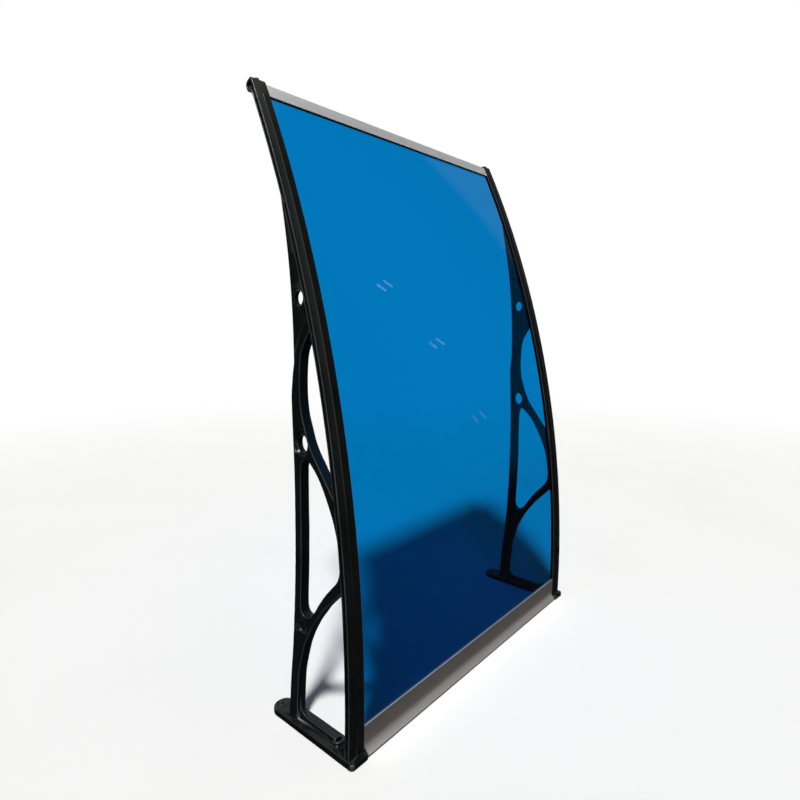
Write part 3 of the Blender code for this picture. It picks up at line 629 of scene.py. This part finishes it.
def screwTree():
    # A dome head with a cross recess, a shank and a thread, with the head's seat at the origin
    tree, given = newTree("crossHeadScrews", (
        ("Head radius", "Float"), ("Head height", "Float"), ("Recess length", "Float"),
        ("Recess width", "Float"), ("Recess depth", "Float"), ("Shank radius", "Float"),
        ("Length", "Float"), ("Thread height", "Float"), ("Thread end", "Float"),
        ("Pitch", "Float"), ("Material", "Material")))
    headSize = addNode(tree, "ShaderNodeCombineXYZ", {},
                       {"X": (given, "Head radius"), "Y": (given, "Head radius"),
                        "Z": (given, "Head height")})
    top = addNode(tree, "ShaderNodeCombineXYZ", {}, {"Z": (given, "Head height")})
    ball = addNode(tree, "GeometryNodeMeshUVSphere",
                   {"Segments": screw["headSegments"], "Rings": screw["headRings"],
                    "Radius": 1.0})
    dome = addNode(tree, "GeometryNodeTransform", {},
                   {"Geometry": (ball, "Mesh"), "Scale": (headSize, 0)})
    # Cut off: the ball's lower half, by a block twice its width, and the recess's two blades
    blockSize = addNode(tree, "ShaderNodeVectorMath", {1: (4.0, 4.0, 2.0)}, {0: (headSize, 0)},
                        operation="MULTIPLY")
    block = addNode(tree, "GeometryNodeMeshCube", {}, {"Size": (blockSize, 0)})
    underSeat = addNode(tree, "ShaderNodeVectorMath", {1: (0.0, 0.0, -1.0)}, {0: (headSize, 0)},
                        operation="MULTIPLY")
    lower = addNode(tree, "GeometryNodeTransform", {},
                    {"Geometry": (block, "Mesh"), "Translation": (underSeat, 0)})
    bladeLength = addNode(tree, "ShaderNodeMath", {},
                          {0: (given, "Head radius"), 1: (given, "Recess length")},
                          operation="MULTIPLY")
    bladeDepth = addNode(tree, "ShaderNodeMath", {1: 2.0}, {0: (given, "Recess depth")},
                         operation="MULTIPLY")
    bladeSize = addNode(tree, "ShaderNodeCombineXYZ", {},
                        {"X": (bladeLength, 0), "Y": (given, "Recess width"),
                         "Z": (bladeDepth, 0)})
    blade = addNode(tree, "GeometryNodeMeshCube", {}, {"Size": (bladeSize, 0)})
    head = addNode(tree, "GeometryNodeMeshBoolean", {}, {"Mesh 1": (dome, 0)},
                   operation="DIFFERENCE")
    tree.links.new(lower.outputs[0], head.inputs["Mesh 2"])
    for turn in (0.0, math.pi / 2):
        across = addNode(tree, "GeometryNodeTransform", {"Rotation": (0.0, 0.0, turn)},
                         {"Geometry": (blade, "Mesh"), "Translation": (top, 0)})
        tree.links.new(across.outputs[0], head.inputs["Mesh 2"])
    rod = addNode(tree, "GeometryNodeMeshCylinder", {"Vertices": screw["shankSides"]},
                  {"Radius": (given, "Shank radius"), "Depth": (given, "Length")})
    halfway = addNode(tree, "ShaderNodeMath", {1: -0.5}, {0: (given, "Length")},
                      operation="MULTIPLY")
    shankPlace = addNode(tree, "ShaderNodeCombineXYZ", {}, {"Z": (halfway, 0)})
    shank = addNode(tree, "GeometryNodeTransform", {},
                    {"Geometry": (rod, "Mesh"), "Translation": (shankPlace, 0)})
    turns = addNode(tree, "ShaderNodeMath", {}, {0: (given, "Length"), 1: (given, "Pitch")},
                    operation="DIVIDE")
    threaded = addNode(tree, "ShaderNodeMath", {},
                       {0: (given, "Length"), 1: (given, "Thread end")}, operation="MULTIPLY")
    downwards = addNode(tree, "ShaderNodeMath", {1: -1.0}, {0: (threaded, 0)},
                        operation="MULTIPLY")
    helix = addNode(tree, "GeometryNodeCurveSpiral", {"Resolution": screw["threadSteps"]},
                    {"Rotations": (turns, 0), "Start Radius": (given, "Shank radius"),
                     "End Radius": (given, "Shank radius"), "Height": (downwards, 0)})
    ridge = addNode(tree, "GeometryNodeCurvePrimitiveCircle",
                    {"Resolution": screw["threadSides"]},
                    {"Radius": (given, "Thread height")}, mode="RADIUS")
    thread = addNode(tree, "GeometryNodeCurveToMesh", {"Fill Caps": True},
                     {"Curve": (helix, 0), "Profile Curve": (ridge, 0)})
    one = addNode(tree, "GeometryNodeJoinGeometry")
    for source in (thread, shank, head):
        tree.links.new(source.outputs[0], one.inputs[0])
    facing = addNode(tree, "GeometryNodeInputNamedAttribute", {"Name": "facing"},
                     data_type="FLOAT_VECTOR")
    turned = addNode(tree, "FunctionNodeAlignRotationToVector", {}, {"Vector": (facing, 0)},
                     axis="Z")
    placed = addNode(tree, "GeometryNodeInstanceOnPoints", {},
                     {"Points": (given, "Geometry"), "Instance": (one, 0),
                      "Rotation": (turned, 0)})
    endTree(tree, given, placed)
    return tree


screwNodes = screwTree()


def screwPair(name, seats, length):
    # seats are (place, direction that the head faces)
    points = bpy.data.meshes.new(name + "Seats")
    points.from_pydata([place for place, facing in seats], [], [])
    facings = points.attributes.new("facing", "FLOAT_VECTOR", "POINT")
    for i, (place, facing) in enumerate(seats):
        facings.data[i].vector = facing
    pair = applyTree(name, screwNodes, {
        "Head radius": screw["headRadius"], "Head height": screw["headHeight"],
        "Recess length": screw["recessLength"], "Recess width": screw["recessWidth"],
        "Recess depth": screw["recessDepth"], "Shank radius": screw["shankRadius"],
        "Length": length, "Thread height": screw["threadHeight"],
        "Thread end": screw["threadEnd"], "Pitch": screw["pitch"],
        "Material": screwSteel}, points)
    smoothByAngle(pair, screw["sharpAngle"])
    return pair


frontSeats, rearSeats = [], []
rearAngle = armAngle(screw["rearHeight"], arm["depth"])
rearY, rearZ = armPlace(rearAngle, arm["depth"] + screw["seatGap"])
frontX = arm["spacing"] / 2 + arm["web"] / 2 + screw["seatGap"]
rearX = arm["spacing"] / 2 - screw["rearInset"]
for side, name in ((-1, "left"), (1, "right")):
    low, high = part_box("front_" + name + "_screw")
    frontSeats.append(((side * frontX, (low.y + high.y) / 2, (low.z + high.z) / 2),
                       (side, 0.0, 0.0)))
    rearSeats.append(((side * rearX, rearY, rearZ),
                      (0.0, math.cos(rearAngle), -math.sin(rearAngle))))
frontScrews = screwPair("frontStripScrews", frontSeats, screw["frontLength"])
onBody(frontScrews, ["front_left_screw", "front_right_screw"])
rearScrews = screwPair("rearStripScrews", rearSeats, screw["rearLength"])
onBody(rearScrews, ["rear_left_screw", "rear_right_screw"])
print("stage 7: four screws are in,", len(frontScrews.data.polygons), "faces a pair")

# The floor, the backdrop and the soft sun
studio = {
    "floorColour": "#F6F6F5",
    "floorMottle": "#F2F2F1",
    "mottle": 400.0,                # mm, between the floor's paler places
    "floorInGloss": "#2E2C29",
    "floorRoughness": 0.9,
    "floorSpecular": 0.1,
    "floorSize": 60.0,
    "floorDrop": 0.0005,            # below the wall plates
    "seamlessFrom": 1.3,            # metres out, where the floor starts to turn into the backdrop
    "seamlessTo": 3.6,
    "backdrop": "#FFFFFF",
    "sunElevation": 60.0,
    "sunHeading": 33.0,             # degrees from +X, the way the light travels over the floor
    "sunStrength": 3.3,
    "sunAngle": 8.0,
    "skyStrength": 0.11,
    "innerGlossTurn": -42.0,        # degrees from +X; the sheet's inner gloss is light past this
    "innerGlossFade": (-0.06, 0.08),
    "oneBounce": 0.5,               # depths over this have bounced
}


def direction(turn, rise):
    # turn from +X towards +Y and rise above the horizon, in degrees
    turn, rise = math.radians(turn), math.radians(rise)
    return Vector((math.cos(rise) * math.cos(turn), math.cos(rise) * math.sin(turn),
                   math.sin(rise)))


def seenBackdrop(tree, outwards):
    # 1 where the camera, a gloss or the clear sheet looks at the white backdrop, 0 for the light
    # that falls on the canopy. What a gloss sees through the sheet, or the sheet reflects inside,
    # is white on the right alone
    ray = addNode(tree, "ShaderNodeLightPath")
    side = addNode(tree, "ShaderNodeVectorMath",
                   {1: direction(studio["innerGlossTurn"] + 90, 0.0)}, {0: outwards},
                   operation="DOT_PRODUCT")
    right = addNode(tree, "ShaderNodeMapRange",
                    {"From Min": studio["innerGlossFade"][0],
                     "From Max": studio["innerGlossFade"][1]},
                    {"Value": (side, "Value")}, interpolation_type="SMOOTHSTEP")
    bounces = addNode(tree, "ShaderNodeMath", {},
                      {0: (ray, "Diffuse Depth"), 1: (ray, "Glossy Depth")}, operation="ADD")
    straight = addNode(tree, "ShaderNodeMath", {1: studio["oneBounce"]}, {0: (bounces, 0)},
                       operation="LESS_THAN")
    undiffused = addNode(tree, "ShaderNodeMath", {1: studio["oneBounce"]},
                         {0: (ray, "Diffuse Depth")}, operation="LESS_THAN")
    inner = addNode(tree, "ShaderNodeMath", {}, {0: (right, 0), 1: (undiffused, 0)},
                    operation="MULTIPLY")
    clear = addNode(tree, "ShaderNodeMath", {}, {0: (straight, 0), 1: (inner, 0)},
                    operation="MAXIMUM")
    through = addNode(tree, "ShaderNodeMath", {}, {0: (ray, "Is Transmission Ray"), 1: (clear, 0)},
                      operation="MULTIPLY")
    # A ray through the sheet counts as glossy too, and is taken out here
    mirrored = addNode(tree, "ShaderNodeMath", {},
                       {0: (ray, "Is Glossy Ray"), 1: (ray, "Is Transmission Ray")},
                       operation="SUBTRACT", use_clamp=True)
    glossy = addNode(tree, "ShaderNodeMath", {}, {0: (mirrored, 0), 1: (undiffused, 0)},
                     operation="MULTIPLY")
    seen = addNode(tree, "ShaderNodeMath", {}, {0: (ray, "Is Camera Ray"), 1: (glossy, 0)},
                   operation="MAXIMUM")
    return addNode(tree, "ShaderNodeMath", {}, {0: (seen, 0), 1: (through, 0)},
                   operation="MAXIMUM")


def floorMaterial():
    # A painted floor sweep, matt: pale near the canopy, and one with the white backdrop far off
    made, tree, shader, place = newMaterial("paleFloor")
    mottle = addNode(tree, "ShaderNodeTexNoise",
                     {"Scale": patternScale(studio["mottle"]), "Detail": 2.0},
                     {"Vector": (place, "Object")})
    tone = addNode(tree, "ShaderNodeMix", {6: linearColour(studio["floorColour"]),
                                           7: linearColour(studio["floorMottle"])},
                   {0: (mottle, "Fac")}, data_type="RGBA")
    # A gloss that looks at the floor through the sheet sees it dim, as it sees the room
    ray = addNode(tree, "ShaderNodeLightPath")
    indirect = addNode(tree, "ShaderNodeMath", {},
                       {0: (ray, "Is Transmission Ray"), 1: (ray, "Glossy Depth")},
                       operation="MULTIPLY", use_clamp=True)
    dimmed = addNode(tree, "ShaderNodeMix", {7: linearColour(studio["floorInGloss"])},
                     {0: (indirect, 0), 6: (tone, 2)}, data_type="RGBA")
    tree.links.new(dimmed.outputs[2], shader.inputs["Base Color"])
    shader.inputs["Roughness"].default_value = studio["floorRoughness"]
    shader.inputs["Specular IOR Level"].default_value = studio["floorSpecular"]
    away = addNode(tree, "ShaderNodeVectorMath", {}, {0: (place, "Object")}, operation="LENGTH")
    far = addNode(tree, "ShaderNodeMapRange",
                  {"From Min": studio["seamlessFrom"], "From Max": studio["seamlessTo"]},
                  {"Value": (away, "Value")}, interpolation_type="SMOOTHSTEP")
    outwards = addNode(tree, "ShaderNodeVectorMath", {}, {0: (place, "Object")},
                       operation="NORMALIZE")
    seen = seenBackdrop(tree, (outwards, 0))
    shown = addNode(tree, "ShaderNodeMath", {}, {0: (far, 0), 1: (seen, 0)},
                    operation="MULTIPLY")
    white = addNode(tree, "ShaderNodeEmission",
                    {"Color": linearColour(studio["backdrop"]), "Strength": 1.0})
    both = addNode(tree, "ShaderNodeMixShader", {}, {0: (shown, 0), 1: (shader, 0), 2: (white, 0)})
    tree.links.new(both.outputs[0], tree.nodes["Material Output"].inputs["Surface"])
    return made


def stageGrid(name, reach, drop, material):
    # A level square under the canopy that reaches this far to each side
    bm = bmesh.new()
    bmesh.ops.create_grid(bm, x_segments=1, y_segments=1, size=reach)
    piece = meshPiece(name, bm, material)
    piece.location.z = -drop
    return piece


stageGrid("studioFloor", studio["floorSize"] / 2, studio["floorDrop"], floorMaterial())

world = bpy.data.worlds.new("studioWorld")
world.use_nodes = True
bpy.context.scene.world = world
sky = world.node_tree
sky.nodes.clear()
lit = addNode(sky, "ShaderNodeBackground",
              {"Color": linearColour(studio["backdrop"]), "Strength": studio["skyStrength"]})
white = addNode(sky, "ShaderNodeBackground",
                {"Color": linearColour(studio["backdrop"]), "Strength": 1.0})
around = addNode(sky, "ShaderNodeTexCoord")
seen = seenBackdrop(sky, (around, "Generated"))
both = addNode(sky, "ShaderNodeMixShader", {}, {0: (seen, 0), 1: (lit, 0), 2: (white, 0)})
addNode(sky, "ShaderNodeOutputWorld", {}, {"Surface": (both, 0)})

sunData = bpy.data.lights.new("softSun", "SUN")
sunData.energy = studio["sunStrength"]
sunData.angle = math.radians(studio["sunAngle"])
sun = bpy.data.objects.new("softSun", sunData)
bpy.context.scene.collection.objects.link(sun)
sunRays = direction(studio["sunHeading"], -studio["sunElevation"])
sun.rotation_euler = (-sunRays).to_track_quat("Z", "Y").to_euler()

# The dim room round the canopy, which only its gloss shows: a light ceiling, soft patches of
# light on the walls, a lighter part to the right and a faint glow on the floor
room = {
    "radius": 3.0,
    "height": 0.3,                  # of its middle
    "colour": "#FFFCF7",
    "dim": 0.010,
    "ceiling": 0.9,
    "ceilingRise": (62.0, 74.0),    # degrees above the horizon, where it starts and is full
    # Patches in front on the left, behind the sheet and low behind on the right: strength, turn
    # from +X and rise in degrees, and how far from its middle each starts and is full
    "patches": ((0.8, -128.0, 30.0, 60.0, 50.0),
                (0.35, 80.0, 32.0, 40.0, 28.0),
                (0.30, 30.0, -5.0, 50.0, 30.0)),
    "right": 0.16,
    "rightEdgeTurn": -25.5,         # degrees from +X, where the lighter part starts
    "rightEdgeLean": -12.0,         # and how far that edge leans out of the upright
    "rightEdgeFade": (-0.007, 0.02),
    "rightRise": (14.5, 23.5),
    "reflectedFloorColour": "#FFF8F1",
    "reflectedFloorDrop": 0.0002,
    "floorGlow": 0.02,
    "rightGlow": 0.40,
    "rightGlowFrom": (-0.1, 0.7),   # metres along the wall, over which the floor's glow grows
    "backGlowFrom": (0.1, 0.6),     # and metres out behind the wall plates' middle
}


def onlyInGloss(piece):
    piece.visible_camera = False
    piece.visible_diffuse = False
    piece.visible_transmission = False
    piece.visible_shadow = False


def glowingMaterial(name, colour):
    # A material that only shines; its maker links the strength
    made, tree, shader, place = newMaterial(name)
    tree.nodes.remove(shader)
    shine = addNode(tree, "ShaderNodeEmission", {"Color": linearColour(colour)})
    tree.links.new(shine.outputs[0], tree.nodes["Material Output"].inputs["Surface"])
    return made, tree, shine, place


def roomMaterial():
    made, tree, shine, place = glowingMaterial("dimRoom", room["colour"])
    outwards = addNode(tree, "ShaderNodeVectorMath", {}, {0: (place, "Object")},
                       operation="NORMALIZE")
    split = addNode(tree, "ShaderNodeSeparateXYZ", {}, {"Vector": (outwards, 0)})
    start, full = [math.sin(math.radians(rise)) for rise in room["ceilingRise"]]
    ceiling = addNode(tree, "ShaderNodeMapRange",
                      {"From Min": start, "From Max": full, "To Max": room["ceiling"]},
                      {"Value": (split, "Z")}, interpolation_type="SMOOTHSTEP")
    acrossEdge = direction(room["rightEdgeTurn"] + 90, room["rightEdgeLean"])
    side = addNode(tree, "ShaderNodeVectorMath", {1: acrossEdge}, {0: (outwards, 0)},
                   operation="DOT_PRODUCT")
    past = addNode(tree, "ShaderNodeMapRange",
                   {"From Min": room["rightEdgeFade"][0], "From Max": room["rightEdgeFade"][1]},
                   {"Value": (side, "Value")}, interpolation_type="SMOOTHSTEP")
    start, full = [math.sin(math.radians(rise)) for rise in room["rightRise"]]
    raised = addNode(tree, "ShaderNodeMapRange",
                     {"From Min": start, "From Max": full, "To Max": room["right"]},
                     {"Value": (split, "Z")}, interpolation_type="SMOOTHSTEP")
    right = addNode(tree, "ShaderNodeMath", {}, {0: (past, 0), 1: (raised, 0)},
                    operation="MULTIPLY")
    glow = addNode(tree, "ShaderNodeMath", {}, {0: (ceiling, 0), 1: (right, 0)},
                   operation="MAXIMUM")
    for strength, turn, rise, startAngle, fullAngle in room["patches"]:
        near = addNode(tree, "ShaderNodeVectorMath", {1: direction(turn, rise)},
                       {0: (outwards, 0)}, operation="DOT_PRODUCT")
        patch = addNode(tree, "ShaderNodeMapRange",
                        {"From Min": math.cos(math.radians(startAngle)),
                         "From Max": math.cos(math.radians(fullAngle)), "To Max": strength},
                        {"Value": (near, "Value")}, interpolation_type="SMOOTHSTEP")
        glow = addNode(tree, "ShaderNodeMath", {}, {0: (glow, 0), 1: (patch, 0)},
                       operation="MAXIMUM")
    least = addNode(tree, "ShaderNodeMath", {1: room["dim"]}, {0: (glow, 0)}, operation="MAXIMUM")
    tree.links.new(least.outputs[0], shine.inputs["Strength"])
    return made


roomMesh = bmesh.new()
bmesh.ops.create_uvsphere(roomMesh, u_segments=48, v_segments=24, radius=room["radius"])
roomWall = meshPiece("roomRoundAbout", roomMesh, roomMaterial())
roomWall.location.z = room["height"]
onlyInGloss(roomWall)


# A painted reflection: a faintly glowing square that only gloss shows, in place of the floor,
# lighter to the right and behind
def floorReflectionMaterial():
    made, tree, shine, place = glowingMaterial("dimFloorReflection", room["reflectedFloorColour"])
    split = addNode(tree, "ShaderNodeSeparateXYZ", {}, {"Vector": (place, "Object")})
    rightwards = addNode(tree, "ShaderNodeMapRange",
                         {"From Min": room["rightGlowFrom"][0],
                          "From Max": room["rightGlowFrom"][1], "To Max": room["rightGlow"]},
                         {"Value": (split, "X")}, interpolation_type="SMOOTHSTEP")
    behind = addNode(tree, "ShaderNodeMapRange",
                     {"From Min": room["backGlowFrom"][0], "From Max": room["backGlowFrom"][1]},
                     {"Value": (split, "Y")}, interpolation_type="SMOOTHSTEP")
    both = addNode(tree, "ShaderNodeMath", {2: room["floorGlow"]},
                   {0: (rightwards, 0), 1: (behind, 0)}, operation="MULTIPLY_ADD")
    tree.links.new(both.outputs[0], shine.inputs["Strength"])
    return made


onlyInGloss(stageGrid("floorInReflections", room["radius"], room["reflectedFloorDrop"], floorReflectionMaterial()))

# Small slanted lamps round the room, in pairs: the sheet's polish shows them as short streaks
lamps = {
    "places": ((-38.4, 32.2), (-36.2, 19.2), (-34.7, 3.5)),     # (turn, rise) in degrees
    "colour": "#F3FCFF",
    "apart": 0.060,
    "length": 0.085,
    "width": 0.016,
    "slant": -19.0,
    "away": 2.9,
    "heights": (0.4, 1.9),          # metres, and how strong the lamps are there
    "strengths": (0.5, 2.6),
}


def lampMaterial():
    made, tree, shine, place = glowingMaterial("smallLamp", lamps["colour"])
    split = addNode(tree, "ShaderNodeSeparateXYZ", {}, {"Vector": (place, "Object")})
    strength = addNode(tree, "ShaderNodeMapRange",
                       {"From Min": lamps["heights"][0], "From Max": lamps["heights"][1],
                        "To Min": lamps["strengths"][0], "To Max": lamps["strengths"][1]},
                       {"Value": (split, "Z")})
    tree.links.new(strength.outputs["Result"], shine.inputs["Strength"])
    return made


lampMesh = bmesh.new()
slant = math.radians(lamps["slant"])
for turn, rise in lamps["places"]:
    outwards = direction(turn, rise)
    level = Vector((-outwards.y, outwards.x, 0.0)).normalized()
    upright = outwards.cross(level)
    along = math.cos(slant) * upright + math.sin(slant) * level
    across = outwards.cross(along)
    for side in (-0.5, 0.5):
        middle = roomWall.location + outwards * lamps["away"] + across * side * lamps["apart"]
        corners = [middle + along * u * lamps["length"] + across * v * lamps["width"]
                   for u, v in ((-0.5, -0.5), (0.5, -0.5), (0.5, 0.5), (-0.5, 0.5))]
        lampMesh.faces.new([lampMesh.verts.new(corner) for corner in corners])
onlyInGloss(meshPiece("smallLamps", lampMesh, lampMaterial()))

bpy.context.scene.view_settings.view_transform = "Standard"
print("stage 8: floor, backdrop and light are set")
